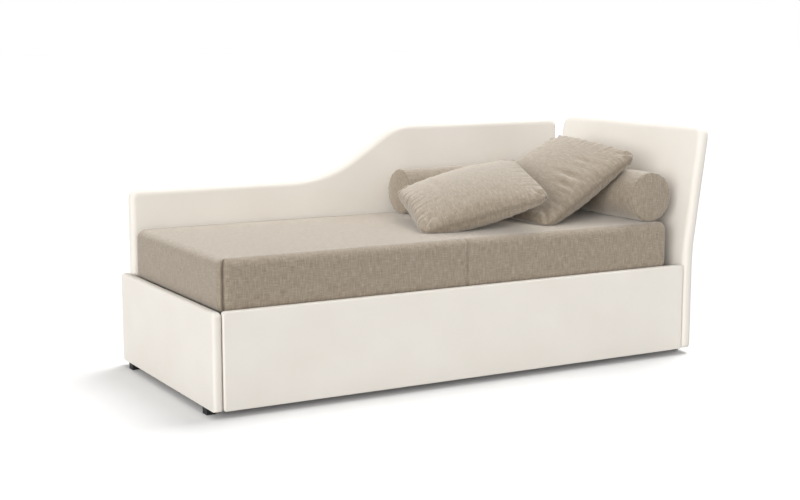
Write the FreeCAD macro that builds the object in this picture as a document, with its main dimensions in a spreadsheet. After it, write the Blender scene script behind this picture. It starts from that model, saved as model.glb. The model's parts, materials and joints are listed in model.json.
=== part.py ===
"""A single sofa bed with a second bed on castors under it.

Millimetres. +Z is up, +X points to the headboard, +Y to the back panel, and the origin lies on the
floor under the middle of the sofa bed. Each sub-part is written to its own file in parts/.
"""
import FreeCAD
import Part
import math
import os
import re
import Sketcher

# Driving dimensions, in millimetres, degrees or counts. Each is written once, here.
SIZES = {
    # Main mattress and the room round it
    "mattress_length": 2030,
    "mattress_width": 900,
    "mattress_thick": 200,
    "mattress_corner": 38,
    "mattress_round": 28,
    "mattress_wall": 4,
    "mattress_drop": 19,
    "foot_gap": 7,
    "head_gap": 61,
    "front_gap": 2,
    "back_gap": 2,
    "soft_gap": 0.3,
    # Panels: boards in padded covers, standing on the feet
    "base_height": 361,
    "end_thick": 36,
    "end_pad": 7,
    "end_round": 12,
    "front_thick": 27,
    "front_pad": 5.5,
    "front_round": 9,
    "front_side_gap": 3,
    "back_thick": 55,
    "back_pad": 15,
    "back_round": 20,
    "back_corner": 30,
    "back_low": 722,
    "back_high": 947,
    "rise_start": 714,
    "rise_lower_radius": 570,
    "rise_upper_radius": 250,
    "rise_angle": 34,
    "headboard_thick": 52,
    "headboard_pad": 15,
    "headboard_round": 24,
    "headboard_top": 958,
    "headboard_lean": 73,
    "lean_start": 440,
    "lean_bend": 300,
    # Feet
    "foot_height": 25,
    "foot_wide": 34,
    "foot_deep": 40,
    "foot_inset": 95,
    "middle_foot_spread": 350,
    # Frame of the main bed
    "rail_width": 20,
    "rail_height": 40,
    "rail_wall": 2,
    "rail_setback": 6,
    "slat_count": 14,
    "slat_width": 68,
    "slat_thick": 8,
    "slat_margin": 85,
    "slat_play": 0.2,
    "holder_length": 40,
    "holder_base": 3,
    "holder_cheek": 5,
    "bracket_leg": 40,
    "bracket_thick": 3,
    "bracket_height": 180,
    "bracket_rise": 100,
    "bracket_screw_reach": 24,
    "bracket_screw_pitch": 60,
    "buffer_radius": 10,
    "buffer_spread": 800,
    # Fixings
    "bolt_radius": 4,
    "bolt_head_radius": 8,
    "bolt_head_height": 5,
    "bolt_bite": 14,
    "end_bolt_spread": 300,
    "back_bolt_spread": 700,
    "screw_radius": 2.5,
    "screw_head_radius": 5,
    "screw_head_height": 3,
    "screw_bite": 8,
    "foot_screw_bite": 20,
    "foot_screw_recess": 6,
    "bore_play": 0.2,
    # Second bed
    "second_length": 1900,
    "second_width": 800,
    "second_thick": 160,
    "second_play": 2,
    "second_rail_width": 20,
    "second_rail_height": 45,
    "second_rail_wall": 1.5,
    "second_slat_count": 13,
    "second_slat_rise": 12,
    "second_holder_length": 30,
    "brace_count": 3,
    "brace_spread": 700,
    "brace_width": 30,
    "brace_thick": 4,
    "brace_height": 230,
    "brace_screw_rise": 90,
    "brace_screw_pitch": 110,
    # Castors
    "wheel_radius": 25,
    "wheel_width": 20,
    "wheel_hub_radius": 10,
    "wheel_rim_radius": 18,
    "wheel_web_inset": 5,
    "castor_inset": 60,
    "castor_clear": 7,
    "fork_thick": 3,
    "fork_play": 1,
    "fork_plate_depth": 50,
    "fork_cheek_depth": 30,
    "fork_cheek_below": 12,
    "axle_radius": 4,
    "axle_play": 0.05,
    "axle_head_radius": 6,
    "axle_head_height": 2,
    # Bolsters
    "bolster_round": 18,
    "bolster_wall": 3,
    "back_bolster_radius": 100,
    "back_bolster_length": 690,
    "back_bolster_gap": 11,
    "head_bolster_radius": 106,
    "head_bolster_length": 850,
    "head_bolster_inset": 73,
    "head_bolster_start": 21,
    "bolster_gap": 4,
    # Pillows
    "pillow_side": 520,
    "pillow_thick": 150,
    "pillow_lip": 6,
    "pillow_wall": 2,
    "right_pillow_tilt": 31.2,
    "right_pillow_roll": 5.9,
    "right_pillow_from_bolster": 245,
    "right_pillow_from_front": 400,
    "left_pillow_turn": -20.7,
    "left_pillow_tilt": 14.5,
    "left_pillow_roll": 11.4,
    "left_pillow_from_pillow": 449,
    "left_pillow_from_bolster": 436,
}

# Places that follow from the sizes, each a formula
PLACES = {
    "lean_slope": "headboard_lean / (headboard_top - lean_start)",
    "head_reach": "headboard_lean - headboard_round * (lean_slope + sqrt(1 + lean_slope ^ 2) - 1)",
    "clear_length": "foot_gap + mattress_length + head_gap",
    "half_length": "(end_thick + clear_length + headboard_thick + head_reach) / 2",
    "half_depth": "(front_thick + front_gap + mattress_width + back_gap + back_thick) / 2",
    "foot_x": "-half_length",
    "foot_inner_x": "foot_x + end_thick",
    "mattress_x": "foot_inner_x + foot_gap",
    "head_inner_x": "foot_inner_x + clear_length",
    "bay_middle_x": "foot_inner_x + clear_length / 2",
    "front_y": "-half_depth",
    "front_inner_y": "front_y + front_thick",
    "mattress_y": "front_inner_y + front_gap",
    "back_inner_y": "mattress_y + mattress_width + back_gap",
    "base_top_z": "foot_height + base_height",
    "mattress_z": "base_top_z - mattress_drop",
    "mattress_top_z": "mattress_z + mattress_thick",
    # Frame of the main bed, from the mattress down
    "holder_height": "holder_base + slat_thick",
    "holder_width": "slat_width + 2 * slat_play + 2 * holder_cheek",
    "rail_top_z": "mattress_z - soft_gap - holder_height",
    "rail_z": "rail_top_z - rail_height",
    "rail_middle_z": "rail_z + rail_height / 2",
    "front_rail_y": "front_inner_y + rail_setback",
    "back_rail_y": "back_inner_y - rail_width",
    "cross_rail_x": "foot_inner_x + rail_width",
    "cross_rail_length": "clear_length - 2 * rail_width",
    "slat_pitch": "(mattress_length - 2 * slat_margin) / (slat_count - 1)",
    "slat_first_x": "mattress_x + slat_margin - holder_width / 2",
    # Second bed, from the wheels up
    "second_z": "2 * wheel_radius + castor_clear + fork_thick",
    "second_outer_length": "second_length + 2 * second_play + 2 * second_rail_width",
    "second_x": "bay_middle_x - second_outer_length / 2",
    "second_inner_x": "second_x + second_rail_width",
    "second_far_rail_x": "second_x + second_outer_length - second_rail_width",
    "second_y": "front_inner_y + brace_thick",
    "second_inner_y": "second_y + second_rail_width",
    "second_inner_width": "second_width + 2 * second_play",
    "second_back_y": "second_inner_y + second_inner_width",
    "second_holder_z": "second_z + second_slat_rise",
    "second_mattress_z": "second_holder_z + holder_height + soft_gap",
    "second_slat_pitch": "(second_length - 2 * slat_margin) / (second_slat_count - 1)",
    "second_slat_first_x": "second_inner_x + second_play + slat_margin - holder_width / 2",
    "fork_inner_width": "wheel_width + 2 * fork_play",
    "fork_outer_width": "fork_inner_width + 2 * fork_thick",
    # Bolsters and pillows, on the mattress
    "head_bolster_x": "mattress_x + mattress_length - head_bolster_inset",
    "head_bolster_z": "mattress_top_z + soft_gap + head_bolster_radius",
    "head_bolster_y": "mattress_y + head_bolster_start",
    "back_bolster_x": "head_bolster_x - head_bolster_radius - bolster_gap - back_bolster_length",
    "back_bolster_y": "back_inner_y - back_bolster_gap - back_bolster_radius",
    "back_bolster_z": "mattress_top_z + soft_gap + back_bolster_radius",
    "pillow_half": "pillow_thick / 2",
    "pillow_arc": "((pillow_side / 2 + pillow_lip) ^ 2 + pillow_half ^ 2) / pillow_thick",
    "right_pillow_x": "head_bolster_x - right_pillow_from_bolster",
    "right_pillow_y": "mattress_y + right_pillow_from_front",
    "left_pillow_x": "right_pillow_x - left_pillow_from_pillow",
    "left_pillow_y": "back_bolster_y - left_pillow_from_bolster",
}

# Millimetres within which an edge counts as level, upright or in place, and a pillow as set down
FINE = 0.01
ORIGIN = ("0", "0", "0")
TURNS = {
    "+X": FreeCAD.Rotation(FreeCAD.Vector(0, 1, 0), 90),
    "-X": FreeCAD.Rotation(FreeCAD.Vector(0, 1, 0), -90),
    "+Y": FreeCAD.Rotation(FreeCAD.Vector(1, 0, 0), -90),
    "-Y": FreeCAD.Rotation(FreeCAD.Vector(1, 0, 0), 90),
    "+Z": FreeCAD.Rotation(),
}

doc = FreeCAD.newDocument("sofa_bed")
nodes = {}


def qualify(formula):
    """A formula with each size and place named by the sheet that holds it."""
    def sheet_name(match):
        word = match.group(0)
        if word in SIZES:
            return "Sizes." + word
        return "Places." + word if word in PLACES else word
    return re.sub(r"[a-z][a-z_]*", sheet_name, formula)


def fill_sheet(name, cells):
    """A sheet with a label in column A and an aliased cell in column B on each row."""
    sheet = doc.addObject("Spreadsheet::Sheet", name)
    for row, (alias, text) in enumerate(cells.items(), 1):
        sheet.set(f"A{row}", alias)
        sheet.set(f"B{row}", text)
        sheet.setAlias(f"B{row}", alias)
    return sheet


sizes = fill_sheet("Sizes", {alias: str(size) for alias, size in SIZES.items()})
places = fill_sheet("Places", {alias: "=" + qualify(formula) for alias, formula in PLACES.items()})
doc.recompute()


def value(formula):
    """What a formula comes to with the sheet's sizes."""
    return float(sizes.evalExpression(qualify(formula)))


def count(alias):
    """A size that counts copies, as a whole number."""
    return int(round(value(alias)))


def bind(item, **formulas):
    """Ties properties of an object to formulas of the sheets."""
    for name, formula in formulas.items():
        item.setExpression(name, qualify(formula))


def place(item, at):
    """Ties an object's place along X, Y and Z to formulas."""
    for axis, formula in zip("xyz", at):
        item.setExpression(f"Placement.Base.{axis}", qualify(formula))


def node(label, item):
    """Names an object as a finished sub-part."""
    item.Label = label
    nodes[label] = item
    return item


def box(name, at, size):
    """A box with its low corner at a place."""
    item = doc.addObject("Part::Box", name)
    bind(item, Length=size[0], Width=size[1], Height=size[2])
    place(item, at)
    return item


def rod(name, direction, at, radius, length):
    """A cylinder that starts at a place and runs in a direction."""
    item = doc.addObject("Part::Cylinder", name)
    bind(item, Radius=radius, Height=length)
    item.Placement.Rotation = TURNS[direction]
    place(item, at)
    return item


def cut(name, base, tool):
    """One object less another."""
    item = doc.addObject("Part::Cut", name)
    item.Base = base
    item.Tool = tool
    return item


def fuse(name, members):
    """Touching objects joined to one solid."""
    item = doc.addObject("Part::MultiFuse", name)
    item.Shapes = members
    item.Refine = True
    return item


def group(name, members):
    """Separate solids kept together as one object."""
    item = doc.addObject("Part::Compound", name)
    item.Links = members
    return item


def shifted(at, axis, formula):
    """A place moved along X, Y or Z by a formula."""
    moved = list(at)
    index = "XYZ".index(axis)
    moved[index] = f"{moved[index]} + ({formula})"
    return tuple(moved)


def fixing(kind, name, direction, seat, length):
    """A bolt or screw whose head lies on its seat, and the bore that it needs."""
    head_depth = f"{kind}_head_height"
    axis, sign = direction[1], direction[0]
    head_at = shifted(seat, axis, f"-({head_depth})" if sign == "+" else head_depth)
    head = rod(name + "_head", direction, head_at, f"{kind}_head_radius", head_depth)
    shank = rod(name + "_shank", direction, seat, f"{kind}_radius", length)
    bore = rod(name + "_bore", direction, seat, f"{kind}_radius + bore_play", f"{length} + bore_play")
    return fuse(name, [head, shank]), bore


def tube(name, at, size, axis, wall):
    """A rectangular tube along an axis, open at its ends."""
    outer = box(name + "_outer", at, size)
    inner_at = at
    inner_size = list(size)
    for index, letter in enumerate("XYZ"):
        if letter != axis:
            inner_at = shifted(inner_at, letter, wall)
            inner_size[index] = f"{size[index]} - 2 * {wall}"
    return cut(name, outer, box(name + "_inner", inner_at, inner_size))


def edges_where(feature, wanted):
    """Names of a feature's edges for which a test holds."""
    found = enumerate(feature.Shape.Edges, 1)
    return [f"Edge{index}" for index, edge in found if wanted(edge)]


def rounded(body, base, radius, wanted):
    """Rounds the edges of a body's last feature for which a test holds."""
    doc.recompute()
    fillet = body.newObject("PartDesign::Fillet", "Rounding")
    fillet.Base = (base, edges_where(base, wanted))
    bind(fillet, Radius=radius)
    return fillet


def above_bottom(edge):
    """Whether an edge reaches above the bottom of its body."""
    return edge.BoundBox.ZMax > FINE


def in_one_face(edge):
    """Whether an edge runs round the front or back face of an upright panel."""
    return edge.BoundBox.YLength < FINE


def upright(edge):
    """Whether an edge is a straight upright line."""
    return edge.BoundBox.XLength + edge.BoundBox.YLength < FINE


def level(edge):
    """Whether an edge lies level."""
    return edge.BoundBox.ZLength < FINE


def padded_block(name, at, size, radius):
    """A block with every edge rounded but those of its bottom."""
    body = doc.addObject("PartDesign::Body", name)
    place(body, at)
    block = body.newObject("PartDesign::AdditiveBox", "Block")
    bind(block, Length=size[0], Width=size[1], Height=size[2])
    rounded(body, block, radius, above_bottom)
    return body


def cushion_block(name, at, size, corner, radius):
    """A block with upright corners of one radius and level edges of another."""
    body = doc.addObject("PartDesign::Body", name)
    place(body, at)
    block = body.newObject("PartDesign::AdditiveBox", "Block")
    bind(block, Length=size[0], Width=size[1], Height=size[2])
    corners = rounded(body, block, corner, upright)
    rounded(body, corners, radius, level)
    return body


def attached_sketch(body, role):
    """An empty sketch on one of a body's own origin planes."""
    sketch = body.newObject("Sketcher::SketchObject", "Outline")
    plane = next(item for item in body.Origin.OriginFeatures if item.Role == role)
    sketch.AttachmentSupport = (plane, "")
    sketch.MapMode = "FlatFace"
    return sketch


def pin(sketch, line, end, across=None, up=None):
    """Holds a point of a sketch at formulas of its distance across and up from the sketch's origin."""
    for kind, formula, datum_axis in (("DistanceX", across, -2), ("DistanceY", up, -1)):
        if formula is None:
            continue
        if formula == "0":
            sketch.addConstraint(Sketcher.Constraint("PointOnObject", line, end, datum_axis))
            continue
        index = sketch.addConstraint(Sketcher.Constraint(kind, -1, 1, line, end, value(formula)))
        sketch.setExpression(f"Constraints[{index}]", qualify(formula))


def polygon(body, role, corners):
    """A closed outline of straight lines, each corner held by two formulas."""
    sketch = attached_sketch(body, role)
    points = [FreeCAD.Vector(value(across), value(up), 0) for across, up in corners]
    following = points[1:] + points[:1]
    for start, end in zip(points, following):
        sketch.addGeometry(Part.LineSegment(start, end), False)
    for index, (across, up) in enumerate(corners):
        after = (index + 1) % len(corners)
        sketch.addConstraint(Sketcher.Constraint("Coincident", index, 2, after, 1))
        pin(sketch, index, 1, across, up)
    return sketch


def pad_back(body, sketch, depth):
    """Pads an upright outline towards the back."""
    pad = body.newObject("PartDesign::Pad", "Depth")
    pad.Profile = sketch
    pad.Reversed = True
    bind(pad, Length=depth)
    return pad


def back_outline(body, inset):
    """The back panel's outline, drawn in by an inset: low at the foot, rising in an S to the head."""
    right = f"clear_length - ({inset})"
    low = f"back_low - foot_height - ({inset})"
    high = f"back_high - foot_height - ({inset})"
    corner = f"back_corner - ({inset})"
    lower = f"rise_lower_radius + ({inset})"
    upper = f"rise_upper_radius - ({inset})"
    turn = math.radians(value("rise_angle"))
    x_left, x_right, z_low, z_high = value(inset), value(right), value(low), value(high)
    r_corner, r_lower, r_upper = value(corner), value(lower), value(upper)
    start = value("rise_start")
    rise = z_high - z_low - (r_lower + r_upper) * (1 - math.cos(turn))
    p_low = FreeCAD.Vector(start + r_lower * math.sin(turn), z_low + r_lower * (1 - math.cos(turn)), 0)
    p_high = p_low + FreeCAD.Vector(rise / math.tan(turn), rise, 0)
    x_top = p_high.x + r_upper * math.sin(turn)

    def line(x0, z0, x1, z1):
        return Part.LineSegment(FreeCAD.Vector(x0, z0, 0), FreeCAD.Vector(x1, z1, 0))

    def arc(x, z, radius, first, last):
        circle = Part.Circle(FreeCAD.Vector(x, z, 0), FreeCAD.Vector(0, 0, 1), radius)
        return Part.ArcOfCircle(circle, first, last)

    quarter = math.pi / 2
    outline = [
        line(x_left, 0, x_right, 0),
        line(x_right, 0, x_right, z_high - r_corner),
        arc(x_right - r_corner, z_high - r_corner, r_corner, 0, quarter),
        line(x_right - r_corner, z_high, x_top, z_high),
        arc(x_top, z_high - r_upper, r_upper, quarter, quarter + turn),
        Part.LineSegment(p_low, p_high),
        arc(start, z_low + r_lower, r_lower, 3 * quarter, 3 * quarter + turn),
        line(start, z_low, x_left + r_corner, z_low),
        arc(x_left + r_corner, z_low - r_corner, r_corner, quarter, 2 * quarter),
        line(x_left, z_low - r_corner, x_left, 0),
    ]
    bottom, right_side, right_turn, top, upper_bow, slope, lower_bow, ledge, left_turn, left_side = range(10)
    sketch = attached_sketch(body, "XZ_Plane")
    for piece in outline:
        sketch.addGeometry(piece, False)
    for first, first_end, second, second_end in (
        (right_side, 2, right_turn, 1),
        (right_turn, 2, top, 1),
        (top, 2, upper_bow, 1),
        (upper_bow, 2, slope, 2),
        (slope, 1, lower_bow, 2),
        (lower_bow, 1, ledge, 1),
        (ledge, 2, left_turn, 1),
        (left_turn, 2, left_side, 1),
    ):
        sketch.addConstraint(Sketcher.Constraint("Tangent", first, first_end, second, second_end))
    sketch.addConstraint(Sketcher.Constraint("Coincident", left_side, 2, bottom, 1))
    sketch.addConstraint(Sketcher.Constraint("Coincident", bottom, 2, right_side, 1))
    for piece in (bottom, top, ledge):
        sketch.addConstraint(Sketcher.Constraint("Horizontal", piece))
    for piece in (right_side, left_side):
        sketch.addConstraint(Sketcher.Constraint("Vertical", piece))
    pin(sketch, bottom, 1, inset, "0")
    pin(sketch, bottom, 2, right)
    pin(sketch, top, 1, None, high)
    pin(sketch, ledge, 1, None, low)
    pin(sketch, lower_bow, 3, "rise_start")
    radii = {right_turn: corner, left_turn: corner, upper_bow: upper, lower_bow: lower}
    for piece, formula in radii.items():
        index = sketch.addConstraint(Sketcher.Constraint("Radius", piece, value(formula)))
        sketch.setExpression(f"Constraints[{index}]", qualify(formula))
    index = sketch.addConstraint(Sketcher.Constraint("Angle", slope, turn))
    sketch.setExpression(f"Constraints[{index}]", qualify("rise_angle") + " * 1 deg")
    return sketch


def back_panel_body(name, inset, depth_inset):
    """The back panel's outline as a plate, drawn in from its faces."""
    body = doc.addObject("PartDesign::Body", name)
    place(body, ("foot_inner_x", f"back_inner_y + ({depth_inset})", "foot_height"))
    pad = pad_back(body, back_outline(body, inset), f"back_thick - 2 * ({depth_inset})")
    return body, pad


def headboard_body(name, inset):
    """The leaning headboard as a bent plate, drawn in from its faces, with a smooth bend."""
    body = doc.addObject("PartDesign::Body", name)
    place(body, ("head_inner_x", f"front_y + ({inset})", "foot_height"))
    bend = "lean_start - foot_height"
    top = f"headboard_top - foot_height - ({inset})"
    lean = f"headboard_lean - lean_slope * ({inset})"
    outer = f"headboard_thick - ({inset})"
    corners = [
        (inset, "0"),
        (outer, "0"),
        (outer, bend),
        (f"{outer} + {lean}", top),
        (f"{inset} + {lean}", top),
        (inset, bend),
    ]
    pad = pad_back(body, polygon(body, "XZ_Plane", corners), f"2 * half_depth - 2 * ({inset})")
    doc.recompute()
    height = value(bend)
    at_bend = lambda edge: level(edge) and abs(edge.BoundBox.ZMin - height) < FINE
    bent = rounded(body, pad, "lean_bend", at_bend)
    return body, bent


def covered(name, outer, board, bores):
    """A padded cover round its board, and the board, both pierced by the fixings."""
    sleeve = cut(name + "_sleeve", outer, board)
    node(name + "_cover", cut(name + "_cover_pierced", sleeve, bores))
    node(name + "_board", cut(name + "_board_pierced", board, bores))


def stuffed(name, outer, core, filling):
    """A closed cover and the filling inside it."""
    node(name + "_cover", cut(name + "_casing", outer, core))
    node(f"{name}_{filling}", core)


def frame_fixings():
    """Bolts of the rails and screws of the brackets and feet, with all their bores."""
    bolts, screws, foot_screws, bores = [], [], [], []
    ends = (
        ("-X", "foot_inner_x + rail_width", "rail_width + end_pad + bolt_bite"),
        ("+X", "head_inner_x - rail_width", "rail_width + headboard_pad + bolt_bite"),
    )
    for direction, seat_x, length in ends:
        for side in (-1, 1):
            seat = (seat_x, f"{side} * end_bolt_spread", "rail_middle_z")
            bolts.append(fixing("bolt", f"end_bolt_{len(bolts)}", direction, seat, length))
    for step in (-1, 0, 1):
        seat = (f"bay_middle_x + {step} * back_bolt_spread", "back_rail_y", "rail_middle_z")
        bolts.append(fixing("bolt", f"back_bolt_{step}", "+Y", seat, "rail_width + back_pad + bolt_bite"))
    corner_sides = (("foot_inner_x", "+", "-X", "end_pad"), ("head_inner_x", "-", "+X", "headboard_pad"))
    for corner_x, inward, outward, pad in corner_sides:
        for sign in "+-":
            z = f"bracket_rise + bracket_height / 2 {sign} bracket_screw_pitch / 2"
            back_seat = (f"{corner_x} {inward} bracket_screw_reach", "back_inner_y - bracket_thick", z)
            side_seat = (f"{corner_x} {inward} bracket_thick", "back_inner_y - bracket_screw_reach", z)
            back_length = "bracket_thick + back_pad + screw_bite"
            side_length = f"bracket_thick + {pad} + screw_bite"
            screws.append(fixing("screw", f"back_screw_{len(screws)}", "+Y", back_seat, back_length))
            screws.append(fixing("screw", f"side_screw_{len(screws)}", outward, side_seat, side_length))
    for index, (x, y) in enumerate(foot_places()):
        length = "foot_height - foot_screw_recess + foot_screw_bite"
        seat = (x, y, "foot_screw_recess")
        foot_screws.append(fixing("screw", f"foot_screw_{index}", "+Z", seat, length))
    for fixings, label in ((bolts, "frame_bolts"), (screws, "bracket_screws"), (foot_screws, "foot_screws")):
        node(label, group(label + "_group", [piece for piece, bore in fixings]))
        bores += [bore for piece, bore in fixings]
    return group("frame_bores", bores)


def foot_places():
    """Centres of the feet: two under each end and two under the back panel."""
    rows = []
    for x in ("foot_x + end_thick / 2", "head_inner_x + headboard_thick / 2"):
        rows += [(x, "front_y + foot_inset"), (x, "half_depth - foot_inset")]
    for side in (-1, 1):
        rows.append((f"bay_middle_x + {side} * middle_foot_spread", "half_depth - back_thick / 2"))
    return rows


def make_feet(bores):
    """Block feet, each with a recess for the head of its screw."""
    blocks = []
    for index, (x, y) in enumerate(foot_places()):
        low = (f"{x} - foot_wide / 2", f"{y} - foot_deep / 2", "0")
        block = box(f"foot_block_{index}", low, ("foot_wide", "foot_deep", "foot_height"))
        recess = rod(f"foot_recess_{index}", "+Z", (x, y, "0"), "screw_head_radius + bore_play",
                     "foot_screw_recess")
        blocks.append(cut(f"foot_{index}", block, recess))
    node("feet", cut("feet_pierced", group("feet_group", blocks), bores))


def make_panels(bores):
    """Foot end, back panel and headboard: a board in a padded cover each."""
    depth = "2 * half_depth"
    foot_end = padded_block("foot_end_outer", ("foot_x", "front_y", "foot_height"),
                            ("end_thick", depth, "base_height"), "end_round")
    foot_board = box("foot_end_plate", ("foot_x + end_pad", "front_y + end_pad", "foot_height"),
                     ("end_thick - 2 * end_pad", f"{depth} - 2 * end_pad", "base_height - end_pad"))
    covered("foot_end", foot_end, foot_board, bores)
    back, back_pad = back_panel_body("back_outer", "0", "0")
    rounded(back, back_pad, "back_round", lambda edge: above_bottom(edge) and in_one_face(edge))
    covered("back", back, back_panel_body("back_plate", "back_pad", "back_pad")[0], bores)
    head, head_bend = headboard_body("headboard_outer", "0")
    head_top = value("headboard_top - foot_height") - FINE
    rounded(head, head_bend, "headboard_round",
            lambda edge: edge.BoundBox.ZMax > head_top or above_bottom(edge) and in_one_face(edge))
    covered("headboard", head, headboard_body("headboard_plate", "headboard_pad")[0], bores)


def make_frame(bores):
    """Steel rails round the main bed, bolted to the boards."""
    deep = "back_inner_y - front_rail_y"
    rails = {
        "front_rail": (("cross_rail_x", "front_rail_y"), ("cross_rail_length", "rail_width"), "X"),
        "back_rail": (("cross_rail_x", "back_rail_y"), ("cross_rail_length", "rail_width"), "X"),
        "foot_rail": (("foot_inner_x", "front_rail_y"), ("rail_width", deep), "Y"),
        "head_rail": (("head_inner_x - rail_width", "front_rail_y"), ("rail_width", deep), "Y"),
    }
    for label, (at, size, axis) in rails.items():
        bare = tube(label + "_tube", (*at, "rail_z"), (*size, "rail_height"), axis, "rail_wall")
        node(label, cut(label + "_pierced", bare, bores))


def slatted(prefix, copies, first_x, pitch, near_y, far_y, z, length):
    """Slats across a bed, and the holder that takes each end of each slat."""
    slats, holders = [], []
    size = ("holder_width", length, "holder_height")
    end_wall = "holder_cheek"
    for index in range(copies):
        x = f"{first_x} + {index} * {pitch}"
        slot_x = f"{x} + holder_cheek"
        slot_size = ("slat_width + 2 * slat_play", f"{length} - {end_wall}", "slat_thick")
        sides = ((near_y, f"{near_y} + {end_wall}"), (f"{far_y} - {length}", f"{far_y} - {length}"))
        for side, (y, slot_y) in enumerate(sides):
            name = f"{prefix}_holder_{index}_{side}"
            block = box(name + "_block", (x, y, z), size)
            slot = box(name + "_slot", (slot_x, slot_y, f"{z} + holder_base"), slot_size)
            holders.append(cut(name, block, slot))
        start = f"{near_y} + {end_wall} + slat_play"
        slat_size = ("slat_width", f"({far_y}) - ({near_y}) - 2 * ({end_wall} + slat_play)", "slat_thick")
        slat_at = (f"{slot_x} + slat_play", start, f"{z} + holder_base")
        slats.append(box(f"{prefix}_slat_{index}", slat_at, slat_size))
    node(prefix + "_slats", group(prefix + "_slat_group", slats))
    node(prefix + "_slat_holders", group(prefix + "_holder_group", holders))


def make_brackets(bores):
    """Steel angles that join the back panel to both ends."""
    angles = []
    corners = (
        ("foot_inner_x", "foot_inner_x"),
        ("head_inner_x - bracket_leg", "head_inner_x - bracket_thick"),
    )
    for index, (long_x, short_x) in enumerate(corners):
        along = box(f"bracket_along_{index}", (long_x, "back_inner_y - bracket_thick", "bracket_rise"),
                    ("bracket_leg", "bracket_thick", "bracket_height"))
        across = box(f"bracket_across_{index}", (short_x, "back_inner_y - bracket_leg", "bracket_rise"),
                     ("bracket_thick", "bracket_leg", "bracket_height"))
        angles.append(fuse(f"bracket_{index}", [along, across]))
    node("corner_brackets", cut("brackets_pierced", group("bracket_group", angles), bores))


def make_buffers():
    """Rubber buffers on the front rail, where the front panel comes to rest."""
    discs = []
    for step in (-1, 0, 1):
        at = (f"bay_middle_x + {step} * buffer_spread", "front_rail_y", "rail_middle_z")
        discs.append(rod(f"buffer_{step}", "-Y", at, "buffer_radius", "rail_setback - soft_gap"))
    node("front_buffers", group("buffer_group", discs))


def make_mattress(name, at, size):
    """A mattress: a foam core in a quilted cover."""
    outer = cushion_block(name + "_outer", at, size, "mattress_corner", "mattress_round")
    core_at = at
    for axis in "XYZ":
        core_at = shifted(core_at, axis, "mattress_wall")
    core_size = [f"{length} - 2 * mattress_wall" for length in size]
    core = cushion_block(name + "_inner", core_at, core_size, "mattress_corner - mattress_wall",
                         "mattress_round - mattress_wall")
    stuffed(name, outer, core, "core")
    return outer


def bolster_body(name, direction, at, radius, length, inset):
    """A roll with rounded ends, drawn in from its faces."""
    body = doc.addObject("PartDesign::Body", name)
    body.Placement.Rotation = TURNS[direction]
    place(body, shifted(at, direction[1], inset))
    roll = body.newObject("PartDesign::AdditiveCylinder", "Roll")
    bind(roll, Radius=f"{radius} - {inset}", Height=f"{length} - 2 * {inset}")
    rounded(body, roll, f"bolster_round - {inset}", level)
    return body


def make_bolster(name, direction, at):
    """A bolster: a foam roll in a fabric cover."""
    radius, length = name + "_radius", name + "_length"
    outer = bolster_body(name + "_outer", direction, at, radius, length, "0")
    core = bolster_body(name + "_inner", direction, at, radius, length, "bolster_wall")
    stuffed(name, outer, core, "core")
    return outer


def common(name, first, second):
    """What two objects have in common."""
    item = doc.addObject("Part::Common", name)
    item.Base = first
    item.Tool = second
    return item


def pillow_solid(name, inset, rotation):
    """A square pillow: bowed both ways over and under, and thin all round its edge."""
    bowed = []
    half = f"pillow_side / 2 - {inset}"
    for axis in "XY":
        bows = []
        for sign in "+-":
            at = shifted(ORIGIN, axis, f"-({half})")
            at = shifted(at, "Z", f"{sign}1 * (pillow_arc - pillow_half)")
            bow_name = f"{name}_bow_{axis}{len(bows)}"
            bows.append(rod(bow_name, "+" + axis, at, f"pillow_arc - {inset}", f"2 * ({half})"))
        bowed.append(common(f"{name}_bowed_{axis}", *bows))
    item = common(name + "_solid", *bowed)
    item.Placement.Rotation = rotation
    place(item, (name + "_x", name + "_y"))
    return item


def settled_height(pillow, supports):
    """The height at which a pillow lies a soft gap over what is under it, found by halving."""
    doc.recompute()
    gap = value("soft_gap")
    low = value("mattress_top_z")
    high = low + value("pillow_side")
    while high - low > FINE:
        middle = (low + high) / 2
        pillow.Placement.Base.z = middle
        near = [pillow.Shape.distToShape(support.Shape)[0] < gap for support in supports]
        low, high = (middle, high) if any(near) else (low, middle)
    return high


def make_pillow(name, turn, tilt, roll, supports):
    """A pillow, a filled pad in a fabric cover, set down on what is under it."""
    rotation = FreeCAD.Rotation(value(turn), value(tilt), value(roll))
    outer = pillow_solid(name, "0", rotation)
    pad = pillow_solid(name, "pillow_wall", rotation)
    height = settled_height(outer, supports)
    outer.Placement.Base.z = height
    pad.Placement.Base.z = height
    stuffed(name, outer, pad, "pad")
    return outer


def second_fixings():
    """Screws of the front panel's braces, and their bores."""
    screws = []
    for step in brace_steps():
        for level_step in (0, 1):
            x = f"bay_middle_x + {step} * brace_spread"
            z = f"second_z + brace_screw_rise + {level_step} * brace_screw_pitch"
            length = "brace_thick + front_pad + screw_bite"
            screws.append(fixing("screw", f"panel_screw_{len(screws)}", "-Y", (x, "second_y", z), length))
    node("panel_screws", group("panel_screw_group", [screw for screw, bore in screws]))
    return group("second_bores", [bore for screw, bore in screws])


def brace_steps():
    """Steps of the braces to both sides of the middle."""
    copies = count("brace_count")
    return [index - (copies - 1) / 2 for index in range(copies)]


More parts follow.
